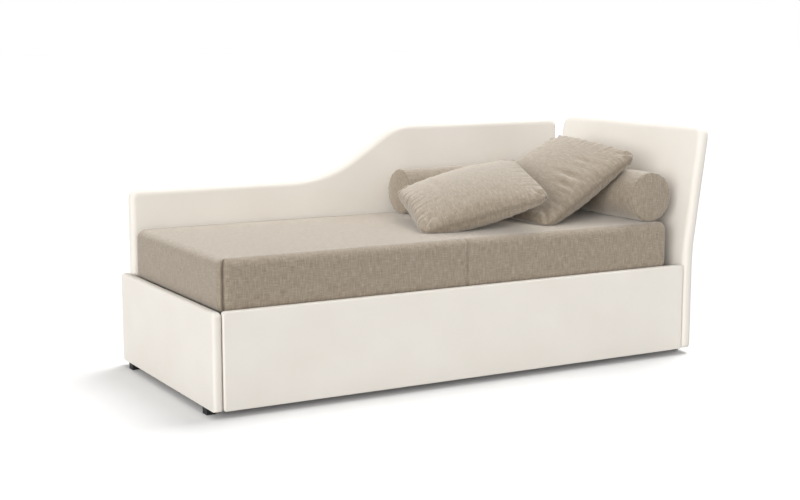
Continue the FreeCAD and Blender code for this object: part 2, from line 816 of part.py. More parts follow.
def make_front_panel(bores):
    """The second bed's front: a board in a padded cover, on flat steel braces."""
    length = "clear_length - 2 * front_side_gap"
    low = ("foot_inner_x + front_side_gap", "front_y", "foot_height")
    outer = padded_block("front_outer", low, (length, "front_thick", "base_height"), "front_round")
    board_at = shifted(shifted(low, "X", "front_pad"), "Y", "front_pad")
    board = box("front_plate", board_at, (f"{length} - 2 * front_pad", "front_thick - 2 * front_pad",
                                          "base_height - front_pad"))
    covered("front", outer, board, bores)
    bars = []
    for step in brace_steps():
        at = (f"bay_middle_x + {step} * brace_spread - brace_width / 2", "front_inner_y", "second_z")
        bars.append(box(f"brace_{len(bars)}", at, ("brace_width", "brace_thick", "brace_height")))
    node("panel_braces", cut("braces_pierced", group("brace_group", bars), bores))


def make_second_frame():
    """Steel rails of the second bed."""
    rails = {
        "trundle_front_rail": (("second_x", "second_y"),
                               ("second_outer_length", "second_rail_width"), "X"),
        "trundle_back_rail": (("second_x", "second_back_y"),
                              ("second_outer_length", "second_rail_width"), "X"),
        "trundle_foot_rail": (("second_x", "second_inner_y"),
                              ("second_rail_width", "second_inner_width"), "Y"),
        "trundle_head_rail": (("second_far_rail_x", "second_inner_y"),
                              ("second_rail_width", "second_inner_width"), "Y"),
    }
    for label, (at, size, axis) in rails.items():
        at = (*at, "second_z")
        size = (*size, "second_rail_height")
        node(label, tube(label + "_tube", at, size, axis, "second_rail_wall"))


def castor_places():
    """Centres of the four wheels, under the second bed's end rails."""
    rows = []
    for x in ("second_x + second_rail_width / 2", "second_far_rail_x + second_rail_width / 2"):
        for y in ("second_inner_y + castor_inset", "second_back_y - castor_inset"):
            rows.append((x, y, "wheel_radius"))
    return rows


def castor_fork(index, centre):
    """A plate under the rail with two cheeks that carry the axle."""
    x, y, z = centre
    plate = box(f"fork_plate_{index}", (f"{x} - fork_outer_width / 2", f"{y} - fork_plate_depth / 2",
                                        "second_z - fork_thick"),
                ("fork_outer_width", "fork_plate_depth", "fork_thick"))
    cheeks = []
    for start in ("-fork_outer_width / 2", "fork_inner_width / 2"):
        at = (f"{x} + {start}", f"{y} - fork_cheek_depth / 2", f"{z} - fork_cheek_below")
        height = "second_z - fork_thick - wheel_radius + fork_cheek_below"
        size = ("fork_thick", "fork_cheek_depth", height)
        cheeks.append(box(f"fork_cheek_{index}_{len(cheeks)}", at, size))
    whole = fuse(f"fork_whole_{index}", [plate] + cheeks)
    bore = rod(f"fork_bore_{index}", "+X", (f"{x} - fork_outer_width / 2", y, z),
               "axle_radius + axle_play", "fork_outer_width")
    return cut(f"fork_{index}", whole, bore)


def castor_axle(index, centre):
    """A pin with a flat head at both ends."""
    x, y, z = centre
    start = f"{x} - fork_outer_width / 2"
    end = f"{x} + fork_outer_width / 2"
    pin_rod = rod(f"axle_pin_{index}", "+X", (start, y, z), "axle_radius", "fork_outer_width")
    heads = [
        rod(f"axle_head_{index}_0", "-X", (start, y, z), "axle_head_radius", "axle_head_height"),
        rod(f"axle_head_{index}_1", "+X", (end, y, z), "axle_head_radius", "axle_head_height"),
    ]
    return fuse(f"axle_{index}", [pin_rod] + heads)


def castor_wheel(index, centre):
    """A wheel turned about its axle: hub, thin web and rim."""
    x, y, z = centre
    body = doc.addObject("PartDesign::Body", f"wheel_body_{index}")
    place(body, (f"{x} - wheel_width / 2", y, z))
    bore = "axle_radius + axle_play"
    far_web = "wheel_width - wheel_web_inset"
    corners = [
        ("0", bore),
        ("wheel_width", bore),
        ("wheel_width", "wheel_hub_radius"),
        (far_web, "wheel_hub_radius"),
        (far_web, "wheel_rim_radius"),
        ("wheel_width", "wheel_rim_radius"),
        ("wheel_width", "wheel_radius"),
        ("0", "wheel_radius"),
        ("0", "wheel_rim_radius"),
        ("wheel_web_inset", "wheel_rim_radius"),
        ("wheel_web_inset", "wheel_hub_radius"),
        ("0", "wheel_hub_radius"),
    ]
    sketch = polygon(body, "XZ_Plane", corners)
    turned = body.newObject("PartDesign::Revolution", "Turned")
    turned.Profile = sketch
    turned.ReferenceAxis = (sketch, ["H_Axis"])
    turned.Angle = 360
    return body


def make_castors():
    """Forks, axles and wheels of the four castors."""
    centres = castor_places()
    forks = [castor_fork(index, centre) for index, centre in enumerate(centres)]
    axles = [castor_axle(index, centre) for index, centre in enumerate(centres)]
    node("castor_forks", group("fork_group", forks))
    node("castor_axles", group("axle_group", axles))
    for index, centre in enumerate(centres, 1):
        node(f"castor_wheel_{index}", castor_wheel(index, centre))


def make_bed():
    """Everything that stands on the feet."""
    bores = frame_fixings()
    make_panels(bores)
    make_frame(bores)
    make_feet(bores)
    make_brackets(bores)
    make_buffers()
    slatted("main", count("slat_count"), "slat_first_x", "slat_pitch", "front_rail_y", "back_inner_y",
            "rail_top_z", "holder_length")


def make_soft_furnishings():
    """The mattress, the bolsters and the pillows."""
    mattress = make_mattress("mattress", ("mattress_x", "mattress_y", "mattress_z"),
                             ("mattress_length", "mattress_width", "mattress_thick"))
    back_roll = make_bolster("back_bolster", "+X", ("back_bolster_x", "back_bolster_y", "back_bolster_z"))
    head_roll = make_bolster("head_bolster", "+Y", ("head_bolster_x", "head_bolster_y", "head_bolster_z"))
    supports = [mattress, back_roll, head_roll]
    right = make_pillow("right_pillow", "0", "-right_pillow_tilt", "right_pillow_roll", supports)
    make_pillow("left_pillow", "left_pillow_turn", "-left_pillow_tilt", "left_pillow_roll",
                supports + [right])


def make_second_bed():
    """Everything that rolls out on the castors."""
    make_front_panel(second_fixings())
    make_second_frame()
    slatted("trundle", count("second_slat_count"), "second_slat_first_x", "second_slat_pitch",
            "second_inner_y", "second_back_y", "second_holder_z", "second_holder_length")
    make_mattress("trundle_mattress",
                  ("second_inner_x + second_play", "second_inner_y + second_play", "second_mattress_z"),
                  ("second_length", "second_width", "second_thick"))
    make_castors()


def check():
    """Stops if an object failed or a sub-part isn't one or more sound solids."""
    doc.recompute()
    for item in doc.Objects:
        if {"Invalid", "Error"} & set(item.State):
            raise RuntimeError(f"{item.Name} failed: {item.State}")
    for label, item in nodes.items():
        shape = item.Shape
        if shape.isNull() or not shape.isValid() or not shape.Solids:
            raise RuntimeError(f"{label} is not a sound solid")


def write():
    """Writes each sub-part to its own file."""
    os.makedirs("parts", exist_ok=True)
    for label, item in nodes.items():
        item.Shape.exportStep(f"parts/{label}.step")


make_bed()
make_soft_furnishings()
make_second_bed()
check()
write()
print(f"{len(nodes)} sub-parts written")
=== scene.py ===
# %% [markdown]
# # A sofa bed with a second bed under it
#
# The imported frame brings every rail, slat, board, wheel and screw at its true size and place. This
# lesson dresses that frame: padded covers for the four panels, a woven cover on the mattress, two
# bolsters, two stuffed pillows, and a finish for every bare piece. Everything is in metres, with
# +Z up, +X towards the headboard and +Y towards the back panel.

# %% Load the frame
import json
import math

import bpy
import numpy as np
from mathutils import Matrix, Vector


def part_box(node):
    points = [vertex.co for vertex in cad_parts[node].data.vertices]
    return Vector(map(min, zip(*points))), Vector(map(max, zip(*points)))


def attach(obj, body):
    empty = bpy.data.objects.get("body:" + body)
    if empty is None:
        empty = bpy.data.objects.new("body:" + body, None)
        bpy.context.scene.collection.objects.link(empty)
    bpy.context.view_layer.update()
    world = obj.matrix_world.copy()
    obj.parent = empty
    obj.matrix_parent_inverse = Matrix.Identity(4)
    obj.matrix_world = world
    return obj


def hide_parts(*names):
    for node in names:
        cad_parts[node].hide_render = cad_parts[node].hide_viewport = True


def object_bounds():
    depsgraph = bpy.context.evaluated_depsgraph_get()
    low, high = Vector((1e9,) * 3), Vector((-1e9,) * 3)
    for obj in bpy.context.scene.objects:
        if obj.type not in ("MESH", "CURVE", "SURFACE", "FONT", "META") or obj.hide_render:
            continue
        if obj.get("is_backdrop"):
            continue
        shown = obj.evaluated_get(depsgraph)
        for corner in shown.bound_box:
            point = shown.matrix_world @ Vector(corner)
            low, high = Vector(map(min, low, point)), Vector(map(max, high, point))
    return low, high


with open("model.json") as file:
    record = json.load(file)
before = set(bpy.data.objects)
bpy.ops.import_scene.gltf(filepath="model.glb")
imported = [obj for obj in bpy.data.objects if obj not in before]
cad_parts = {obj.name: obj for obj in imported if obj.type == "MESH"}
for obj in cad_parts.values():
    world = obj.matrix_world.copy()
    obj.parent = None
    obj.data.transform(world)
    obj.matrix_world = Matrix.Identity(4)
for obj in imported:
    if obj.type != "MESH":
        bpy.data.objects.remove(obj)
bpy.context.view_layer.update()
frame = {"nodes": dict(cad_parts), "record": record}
scene = bpy.context.scene

# %% [markdown]
# ## The camera
#
# The bed is seen from the left of its foot end, a little from above, through a long lens. The
# camera is placed by its point, its turn from +Y towards +X and its dip below the horizon. A
# matrix would do as well, but two angles are easier to read.

# %% Camera
CAMERA_PLACE = (-3.0105, -5.1511, 1.380)
CAMERA_TURN = math.radians(29.5217)
CAMERA_DIP = math.radians(8.7767)
FOCAL_PIXELS = 1448.8
PICTURE_WIDE = 800
SENSOR_WIDE_MM = 36

lens = bpy.data.cameras.new("camera")
lens.sensor_fit = "HORIZONTAL"
lens.sensor_width = SENSOR_WIDE_MM
lens.lens = lens.sensor_width * FOCAL_PIXELS / PICTURE_WIDE
camera = bpy.data.objects.new("camera", lens)
camera.location = CAMERA_PLACE
camera.rotation_euler = (math.pi / 2 - CAMERA_DIP, 0, -CAMERA_TURN)
scene.collection.objects.link(camera)
scene.camera = camera
print("lens", round(lens.lens, 1), "mm")

# %% [markdown]
# ## Studio
#
# A white sweep: a pale floor, an even sky, a broad lamp high behind the head end and a low, broad
# fill lamp in front of the foot end. The sky is plain white where the camera or a mirror-like
# surface looks at it, and dimmer where it lights the object, so that the white background costs no
# extra light. The floor is white to the camera, throws less light back at the bed, and keeps the
# shadow under it. A lamp is given by its strength, its spread in degrees and the way its light
# travels.


# %% Node helpers
def node(tree, kind, place=(0, 0), **settings):
    """Adds a shader node; settings that name a socket fill it, and the others set the node's own
    fields."""
    made = tree.nodes.new(kind)
    made.location = place
    for name, value in settings.items():
        label = name.replace("_", " ")
        if label in made.inputs:
            made.inputs[label].default_value = value
        else:
            setattr(made, name, value)
    return made


def join(tree, source, target):
    """Links an output socket to an input socket."""
    tree.links.new(source, target)


# %% Sky, floor and lamps
SKY_LIGHT = 0.53
FLOOR_OWN_LIGHT = 0.04
FLOOR_SEEN = 0.94
FLOOR_BOUNCE = 0.50
FLOOR_REACH = 60
LAMPS = {
    "high_lamp": (1.95, 32, (-0.46, -0.20, -0.86)),
    "fill_lamp": (3.5, 44, (0.80, 0.59, -0.02)),
}

world = bpy.data.worlds.new("studio")
scene.world = world
world.use_nodes = True
sky = world.node_tree
sky.nodes.clear()
rays = node(sky, "ShaderNodeLightPath", (-800, 0))
seen = node(sky, "ShaderNodeMath", (-600, 0), operation="MAXIMUM")
join(sky, rays.outputs["Is Camera Ray"], seen.inputs[0])
join(sky, rays.outputs["Is Glossy Ray"], seen.inputs[1])
clear = node(sky, "ShaderNodeMath", (-450, 0), operation="MAXIMUM")
join(sky, seen.outputs[0], clear.inputs[0])
join(sky, rays.outputs["Is Transmission Ray"], clear.inputs[1])
level = node(sky, "ShaderNodeMapRange", (-300, 0), To_Min=SKY_LIGHT, To_Max=1.0)
join(sky, clear.outputs[0], level.inputs["Value"])
backdrop = node(sky, "ShaderNodeBackground", (-100, 0), Color=(1, 1, 1, 1))
join(sky, level.outputs[0], backdrop.inputs["Strength"])
sky_out = node(sky, "ShaderNodeOutputWorld", (100, 0))
join(sky, backdrop.outputs[0], sky_out.inputs[0])

floor_mesh = bpy.data.meshes.new("floor")
floor_corners = [(x * FLOOR_REACH, y * FLOOR_REACH, 0) for x, y in ((-1, -1), (1, -1), (1, 1), (-1, 1))]
floor_mesh.from_pydata(floor_corners, [], [(0, 1, 2, 3)])
floor = bpy.data.objects.new("floor", floor_mesh)
scene.collection.objects.link(floor)
floor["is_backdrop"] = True
floor_finish = bpy.data.materials.new("pale_floor")
floor_finish.use_nodes = True
tree = floor_finish.node_tree
tree.nodes.clear()
matt = node(tree, "ShaderNodeBsdfDiffuse", (-300, 100))
glow = node(tree, "ShaderNodeEmission", (-300, -100), Color=(1, 1, 1, 1))
rays = node(tree, "ShaderNodeLightPath", (-700, -100))
pale = node(tree, "ShaderNodeMapRange", (-500, 100), To_Min=FLOOR_BOUNCE, To_Max=FLOOR_SEEN)
join(tree, rays.outputs["Is Camera Ray"], pale.inputs["Value"])
join(tree, pale.outputs[0], matt.inputs["Color"])
dim = node(tree, "ShaderNodeMath", (-500, -100), operation="MULTIPLY")
dim.inputs[1].default_value = FLOOR_OWN_LIGHT
join(tree, rays.outputs["Is Camera Ray"], dim.inputs[0])
join(tree, dim.outputs[0], glow.inputs["Strength"])
both = node(tree, "ShaderNodeAddShader", (-100, 0))
join(tree, matt.outputs[0], both.inputs[0])
join(tree, glow.outputs[0], both.inputs[1])
out = node(tree, "ShaderNodeOutputMaterial", (100, 0))
join(tree, both.outputs[0], out.inputs["Surface"])
floor_mesh.materials.append(floor_finish)

for name, (strength, spread, travel) in LAMPS.items():
    lamp_data = bpy.data.lights.new(name, "SUN")
    lamp_data.energy = strength
    lamp_data.angle = math.radians(spread)
    lamp = bpy.data.objects.new(name, lamp_data)
    lamp.rotation_euler = Vector(travel).to_track_quat("-Z", "Y").to_euler()
    scene.collection.objects.link(lamp)
scene.view_settings.view_transform = "Standard"
print("studio ready")

# %% [markdown]
# ## Finishes
#
# The panels wear a smooth, cream coated cloth with a fine grain. The mattress, bolsters and
# pillows wear a taupe cloth woven from uneven yarns: light and dark slubs run both ways, and the
# nap catches light at low angles, which is what sheen stands for. The patterns are read from a map
# of flat cloth coordinates in metres, called cloth, so that they follow the surface.


# %% Finish helpers
def finish(name):
    """An empty node material with a principled shader; gives the material, its tree and the
    shader."""
    made = bpy.data.materials.new(name)
    made.use_nodes = True
    tree = made.node_tree
    tree.nodes.clear()
    shader = node(tree, "ShaderNodeBsdfPrincipled", (300, 0))
    out = node(tree, "ShaderNodeOutputMaterial", (600, 0))
    join(tree, shader.outputs[0], out.inputs["Surface"])
    return made, tree, shader


def stretched_noise(tree, source, scale, place, detail=2.0):
    """Noise on coordinates stretched by three factors, given in cells per metre."""
    spread = node(tree, "ShaderNodeMapping", place, Scale=scale)
    join(tree, source, spread.inputs["Vector"])
    noise = node(tree, "ShaderNodeTexNoise", (place[0] + 180, place[1]), Scale=1.0, Detail=detail)
    join(tree, spread.outputs[0], noise.inputs["Vector"])
    return noise.outputs["Fac"]


def tones(tree, source, stops, place):
    """A colour ramp with (position, colour) stops."""
    ramp = node(tree, "ShaderNodeValToRGB", place)
    marks = ramp.color_ramp.elements
    while len(marks) < len(stops):
        marks.new(0.5)
    for mark, (position, colour) in zip(marks, stops):
        mark.position = position
        mark.color = (*colour, 1)
    join(tree, source, ramp.inputs["Fac"])
    return ramp.outputs["Color"]


def product_of(tree, first, second, place):
    """Multiplies two colours."""
    mix = node(tree, "ShaderNodeMix", place, data_type="RGBA", blend_type="MULTIPLY")
    mix.inputs["Factor"].default_value = 1.0
    join(tree, first, mix.inputs[6])
    join(tree, second, mix.inputs[7])
    return mix.outputs[2]


def relief(tree, shader, source, depth, strength, place):
    """Bump of a given depth in metres under the shader."""
    bump = node(tree, "ShaderNodeBump", place, Strength=strength, Distance=depth)
    join(tree, source, bump.inputs["Height"])
    join(tree, bump.outputs[0], shader.inputs["Normal"])


# %% Taupe woven cloth
YARN = 0.0016
WARP_SLUBS, WEFT_SLUBS = 22, 28
PATCHES = (130, 34, 1)
PATCH_DARK, PATCH_LIGHT = (0.86, 0.86, 0.85), (1.09, 1.09, 1.09)
# The cloth's colour is multiplied by these two: no painted shade, and the full painted shade of a seam
# groove.
NO_SEAM_SHADE, SEAM_SHADE = (1.0, 1.0, 1.0), (0.30, 0.28, 0.26)
WEAVE_DEPTH, WEAVE_STRENGTH = 0.0014, 0.7


def woven_cloth(name, dark, middle, light, sheen):
    """Plain weave of slubby yarns: a checker picks the yarn on top, warp or weft, and long streaks
    of noise along each yarn set its tone and its height. Slow patches of noise multiply the tone.
    Where the points carry a seam value, the cloth is darker: painted shade in the seam grooves.
    Slubs and patches are in cells per metre."""
    made, tree, shader = finish(name)
    cloth = node(tree, "ShaderNodeUVMap", (-1500, 0), uv_map="cloth").outputs[0]
    warp = stretched_noise(tree, cloth, (1 / (2 * YARN), WARP_SLUBS, 1), (-1300, 300))
    weft = stretched_noise(tree, cloth, (WEFT_SLUBS, 1 / (2 * YARN), 1), (-1300, 0))
    over = node(tree, "ShaderNodeTexChecker", (-1120, -300), Scale=1 / YARN)
    join(tree, cloth, over.inputs["Vector"])
    yarn = node(tree, "ShaderNodeMix", (-850, 100), data_type="FLOAT")
    join(tree, over.outputs["Fac"], yarn.inputs["Factor"])
    join(tree, warp, yarn.inputs[2])
    join(tree, weft, yarn.inputs[3])
    yarn_tone = tones(tree, yarn.outputs[0], [(0.25, dark), (0.50, middle), (0.78, light)], (-650, 200))
    patch = stretched_noise(tree, cloth, PATCHES, (-1300, -600), 3.0)
    patch_tone = tones(tree, patch, [(0.3, PATCH_DARK), (0.7, PATCH_LIGHT)], (-650, -300))
    colour = product_of(tree, yarn_tone, patch_tone, (-300, 200))
    # Painted shade: the seam value darkens the cloth in the seam grooves.
    seam = node(tree, "ShaderNodeAttribute", (-650, 500), attribute_name="seam").outputs["Fac"]
    shade = tones(tree, seam, [(0.0, NO_SEAM_SHADE), (1.0, SEAM_SHADE)], (-400, 500))
    colour = product_of(tree, colour, shade, (-100, 200))
    join(tree, colour, shader.inputs["Base Color"])
    relief(tree, shader, yarn.outputs[0], WEAVE_DEPTH, WEAVE_STRENGTH, (0, -300))
    shader.inputs["Roughness"].default_value = 0.9
    shader.inputs["Specular IOR Level"].default_value = 0.2
    shader.inputs["Sheen Weight"].default_value = sheen
    shader.inputs["Sheen Roughness"].default_value = 0.45
    shader.inputs["Sheen Tint"].default_value = (1.0, 0.95, 0.88, 1)
    return made


taupe = woven_cloth("taupe_woven_cloth", dark=(0.238, 0.189, 0.139), middle=(0.349, 0.290, 0.224),
                    light=(0.481, 0.415, 0.335), sheen=0.66)


# %% Cream coated cloth
def coated_cloth(name, low, high):
    """Smooth coated cloth: a fine grain of small cells, with slow changes of tone over the
    panel."""
    made, tree, shader = finish(name)
    cloth = node(tree, "ShaderNodeUVMap", (-1200, 0), uv_map="cloth").outputs[0]
    grain = node(tree, "ShaderNodeTexVoronoi", (-900, -200), Scale=620.0)
    join(tree, cloth, grain.inputs["Vector"])
    haze = stretched_noise(tree, cloth, (3.5, 3.5, 3.5), (-1000, 200), 4.0)
    colour = tones(tree, haze, [(0.35, low), (0.65, high)], (-500, 200))
    join(tree, colour, shader.inputs["Base Color"])
    relief(tree, shader, grain.outputs["Distance"], 0.0005, 0.12, (0, -300))
    shader.inputs["Roughness"].default_value = 0.62
    shader.inputs["Specular IOR Level"].default_value = 0.3
    shader.inputs["Sheen Weight"].default_value = 0.08
    return made


cream = coated_cloth("cream_coated_cloth", low=(0.855, 0.807, 0.735), high=(0.885, 0.840, 0.772))


# %% Ticking of the second mattress
def ticking_cloth(name, ground, stripes):
    """Mattress ticking of two tones: a fine twill under narrow woven stripes."""
    made, tree, shader = finish(name)
    cloth = node(tree, "ShaderNodeUVMap", (-1200, 0), uv_map="cloth").outputs[0]
    twill = node(tree, "ShaderNodeTexWave", (-900, -200), Scale=180.0, bands_direction="DIAGONAL")
    join(tree, cloth, twill.inputs["Vector"])
    stripe = node(tree, "ShaderNodeTexWave", (-900, 200), Scale=7.5, bands_direction="Y")
    join(tree, cloth, stripe.inputs["Vector"])
    colour = tones(tree, stripe.outputs["Fac"], [(0.90, ground), (0.95, stripes)], (-500, 200))
    join(tree, colour, shader.inputs["Base Color"])
    relief(tree, shader, twill.outputs["Fac"], 0.0004, 0.3, (0, -300))
    shader.inputs["Roughness"].default_value = 0.9
    shader.inputs["Sheen Weight"].default_value = 0.1
    return made


ticking = ticking_cloth("off_white_ticking", ground=(0.68, 0.67, 0.64), stripes=(0.56, 0.57, 0.58))


# %% Finishes of the bare pieces
WEAR = 0.08


def veined(name, low, high, scale, rough, depth, metal):
    """A bare surface with stretched noise for its grain: tone, roughness and relief all follow it.
    The scale is in cells per metre along each axis, and the depth of the relief is in metres."""
    made, tree, shader = finish(name)
    place = node(tree, "ShaderNodeTexCoord", (-1300, 0)).outputs["Object"]
    grain = stretched_noise(tree, place, scale, (-1100, 100), 4.0)
    join(tree, tones(tree, grain, [(0.3, low), (0.7, high)], (-500, 200)), shader.inputs["Base Color"])
    wear = node(tree, "ShaderNodeMapRange", (-500, -100), To_Min=rough - WEAR, To_Max=rough + WEAR)
    join(tree, grain, wear.inputs["Value"])
    join(tree, wear.outputs[0], shader.inputs["Roughness"])
    relief(tree, shader, grain, depth, 0.4, (0, -300))
    shader.inputs["Metallic"].default_value = metal
    return made


BARE = {
    "slat_wood": ("birch_slat", (0.52, 0.37, 0.22), (0.66, 0.50, 0.33),
                  (90, 4, 90), 0.5, 0.0003, 0.0),
    "board": ("pressed_board", (0.42, 0.30, 0.19), (0.60, 0.46, 0.31),
              (160, 160, 160), 0.8, 0.0004, 0.0),
    "frame_steel": ("grey_powder_coat", (0.22, 0.22, 0.225), (0.27, 0.27, 0.275),
                    (700, 700, 700), 0.5, 0.0002, 0.0),
    "plated_steel": ("plated_steel", (0.60, 0.59, 0.57), (0.70, 0.69, 0.67),
                     (300, 300, 300), 0.3, 0.0001, 1.0),
    "black_plastic": ("black_plastic", (0.012, 0.012, 0.012), (0.02, 0.02, 0.02),
                      (500, 500, 500), 0.5, 0.0002, 0.0),
    "wheel_plastic": ("grey_tyre", (0.05, 0.05, 0.052), (0.075, 0.075, 0.078),
                      (400, 400, 400), 0.55, 0.0002, 0.0),
    "buffer_rubber": ("buffer_rubber", (0.02, 0.02, 0.02), (0.035, 0.035, 0.035),
                      (400, 400, 400), 0.75, 0.0003, 0.0),
}
FINISHES = {slot: veined(*row) for slot, row in BARE.items()}
print("three cloths and", len(FINISHES), "bare finishes")

# %% [markdown]
# ## A padded slab
#
# Every panel and both mattresses are slabs: two broad faces and a rounded rim. A box with a bevel
# would do for the shape, but its faces could not be crowned or creased. So the slab is a lattice
# of points, numbered on its surface alone. The two face parameters go through a rounded rectangle,
# and the third carries the rim's profile round that outline.

# %% Lattice of a slab
TINY = 1e-12
EDGE_STEPS = np.array([0.0, 1.0, 2.2, 4.0, 6.5])
EVEN_FROM = 9
LEAST_CORNER = 0.002


def corners_of(net):
    """The four corners of every cell of a net of numbers or points, going round the cell."""
    return np.stack([net[:-1, :-1], net[1:, :-1], net[1:, 1:], net[:-1, 1:]], 2)


def cells_of(net):
    """The quads of a net of point numbers."""
    return corners_of(net).reshape(-1, 4)


def slab_lattice(first, second, rim_cells):
    """Surface points of a slab lattice. first and second are the face's parameters from -1 to 1,
    and the rim has rim_cells cells. Gives both face parameters, the rim parameter from 0 to 1, and
    the quads."""
    n, m, k = len(first) - 1, len(second) - 1, rim_cells
    i, j, l = np.meshgrid(np.arange(n + 1), np.arange(k + 1), np.arange(m + 1), indexing="ij")
    skin = (i == 0) | (i == n) | (j == 0) | (j == k) | (l == 0) | (l == m)
    number = np.full(skin.shape, -1)
    number[skin] = np.arange(skin.sum())
    quads = np.concatenate([
        cells_of(number[:, 0, :]), cells_of(number[:, k, :])[:, ::-1],
        cells_of(number[0])[:, ::-1], cells_of(number[n]),
        cells_of(number[:, :, 0])[:, ::-1], cells_of(number[:, :, m]),
    ])
    return first[i[skin]], second[l[skin]], j[skin] / k, quads


def spaced(length, step, fine, creases=()):
    """Parameters from -1 to 1 over a length: even steps, finer near both ends, with a tight triple
    of parameters at each crease, which is given as a distance from the middle."""
    half = length / 2
    edge = half - EDGE_STEPS * fine
    inner = half - EVEN_FROM * fine
    even = np.linspace(-inner, inner, max(2, round(2 * inner / step) + 1))
    marks = np.array([c + d for c in creases for d in (-2 * fine, 0, 2 * fine)])
    if len(marks):
        even = even[np.abs(even[:, None] - np.array(creases)).min(1) > 3 * fine]
    return np.unique(np.round(np.concatenate([-edge, even, marks, edge]) / half, 9))


def rim_profile(w, thick, radius):
    """The rim's section at share w of its length: a quarter turn, a straight, a quarter turn.
    Gives how far it stands out from the inset outline, and its depth from the middle."""
    straight = thick - 2 * radius
    run = w * (math.pi * radius + straight)
    turn = np.clip(run / radius, 0, math.pi / 2)
    back = np.clip((run - straight) / radius - math.pi / 2, 0, math.pi / 2)
    level = np.clip(run - math.pi * radius / 2, 0, straight)
    out = radius * (np.sin(turn) - (1 - np.cos(back)))
    depth = -thick / 2 + radius * (1 - np.cos(turn)) + level + radius * np.sin(back)
    return out, depth


def rounded_outline(s, t, half_a, half_b, corner):
    """Face parameters on a rounded rectangle: in the corner squares, a point keeps its larger
    distance from the square's inner corner as a radius. Gives both coordinates and the outward
    direction."""
    a, b = s * half_a, t * half_b
    core_a = np.clip(a, corner - half_a, half_a - corner)
    core_b = np.clip(b, corner - half_b, half_b - corner)
    da, db = a - core_a, b - core_b
    length = np.hypot(da, db)
    grow = np.maximum(np.abs(da), np.abs(db)) / np.maximum(length, TINY)
    da, db = da * grow, db * grow
    length = np.maximum(np.hypot(da, db), TINY)
    return core_a + da, core_b + db, da / length, db / length


# %% Slab surface
def slab(size_a, size_b, thick, radius, corner, step, fine, rim_cells=10, creases=()):
    """A padded slab round the origin, broad in a and b and thick in c. Gives its points on the
    inset outline, its quads, and what a later step needs: the face parameters, the rim's stand-out
    and the outward direction. step is the lattice's even step, and fine is the smallest one at the
    edges."""
    first, second = spaced(size_a, step, fine, creases), spaced(size_b, step, fine)
    s, t, w, quads = slab_lattice(first, second, rim_cells)
    half_a, half_b = size_a / 2 - radius, size_b / 2 - radius
    a, b, na, nb = rounded_outline(s, t, half_a, half_b, max(corner - radius, LEAST_CORNER))
    out, depth = rim_profile(w, thick, radius)
    return {"a": a, "b": b, "c": depth, "na": na, "nb": nb, "out": out,
            "s": s, "t": t, "w": w, "quads": quads}


def rimmed(form):
    """A slab's points with the rim standing out from the inset outline."""
    a, b = form["a"] + form["na"] * form["out"], form["b"] + form["nb"] * form["out"]
    return np.stack([a, b, form["c"]], -1)


def cut_flat(points, height):
    """Points below a height are brought up to it, which gives a panel its flat underside."""
    return np.stack([points[:, 0], points[:, 1], np.maximum(points[:, 2], height)], -1)


def crown(form, rise):
    """How far the two faces swell: a product of two arches, nothing at the rim."""
    arch = (1 - form["s"] ** 4) * (1 - form["t"] ** 4)
    return rise * arch * np.sign(form["w"] - 0.5) * (np.abs(form["w"] - 0.5) > 0.499)


# %% Pieces from points
SMOOTH_LEVELS = 1


def outward(points, faces):
    """Turns quads round if they enclose a negative volume."""
    a, b, c, d = (points[faces[:, n]] for n in range(4))
    halves = np.einsum("ij,ij->i", a, np.cross(b, c)) + np.einsum("ij,ij->i", a, np.cross(c, d))
    volume = halves.sum() / 6
    return faces if volume > 0 else faces[:, ::-1]


def laid_cloth(flat, faces):
    """Flat cloth coordinates in metres: each face takes the two coordinates across its main
    direction."""
    across = np.cross(flat[faces[:, 2]] - flat[faces[:, 0]], flat[faces[:, 3]] - flat[faces[:, 1]])
    main = np.abs(across).argmax(1)
    pair = np.array([(1, 2), (0, 2), (0, 1)])[main]
    return np.take_along_axis(flat[faces], np.repeat(pair[:, None, :], 4, 1), 2)


def sewn(name, points, faces, laid, finish_made, body):
    """A smooth mesh piece from a list of faces, with laid as the cloth coordinates of their
    corners, riding on a body."""
    mesh = bpy.data.meshes.new(name)
    mesh.from_pydata(points.tolist(), [], faces)
    mesh.update()
    mesh.polygons.foreach_set("use_smooth", np.ones(len(mesh.polygons), bool))
    layer = mesh.uv_layers.new(name="cloth")
    layer.data.foreach_set("uv", laid.astype(np.float32).ravel())
    mesh.materials.append(finish_made)
    made = bpy.data.objects.new(name, mesh)
    scene.collection.objects.link(made)
    smooth = made.modifiers.new("smooth", "SUBSURF")
    smooth.levels = smooth.render_levels = SMOOTH_LEVELS
    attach(made, body)
    return made


def piece(name, points, faces, finish_made, body, flat=None):
    """A piece of quads. flat gives the points before they were turned into place, so that the
    cloth coordinates lie along the piece's own directions."""
    faces = outward(points, faces)
    laid = laid_cloth(points if flat is None else flat, faces)
    return sewn(name, points, faces.tolist(), laid, finish_made, body)


def mark_seam_shade(made, depth):
    """Keeps the painted shade of the seam grooves at each point, from 0 to 1; the cloth is darker there.
    """
    seam = made.data.attributes.new("seam", "FLOAT", "POINT")
    seam.data.foreach_set("value", depth.astype(np.float32))


def middle_and_size(node_name):
    """Middle and size of a node's box."""
    low, high = (np.array(v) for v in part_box(node_name))
    return (low + high) / 2, high - low


# %% [markdown]
# ## Panels
#
# Foot end and front panel are flat boards in a thin padded cover. The cover is pulled tight, so
# the faces swell by a millimetre or so and only the edges are soft. Each slab is a rim's radius
# too low, and what lies below the panel's underside is cut flat.

# %% Foot end
middle, size = middle_and_size("foot_end_cover")
END_ROUND = 0.013
form = slab(size[1], size[2] + END_ROUND, size[0], END_ROUND,
            corner=END_ROUND + 0.004, step=0.030, fine=0.004)
form["c"] = form["c"] + crown(form, rise=0.0012)
points = cut_flat(rimmed(form)[:, [2, 0, 1]] + middle - (0, 0, END_ROUND / 2), middle[2] - size[2] / 2)
foot_end = piece("foot_end_upholstery", points, form["quads"], cream, "bed_frame")
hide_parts("foot_end_cover")
print("foot end", len(points), "points")

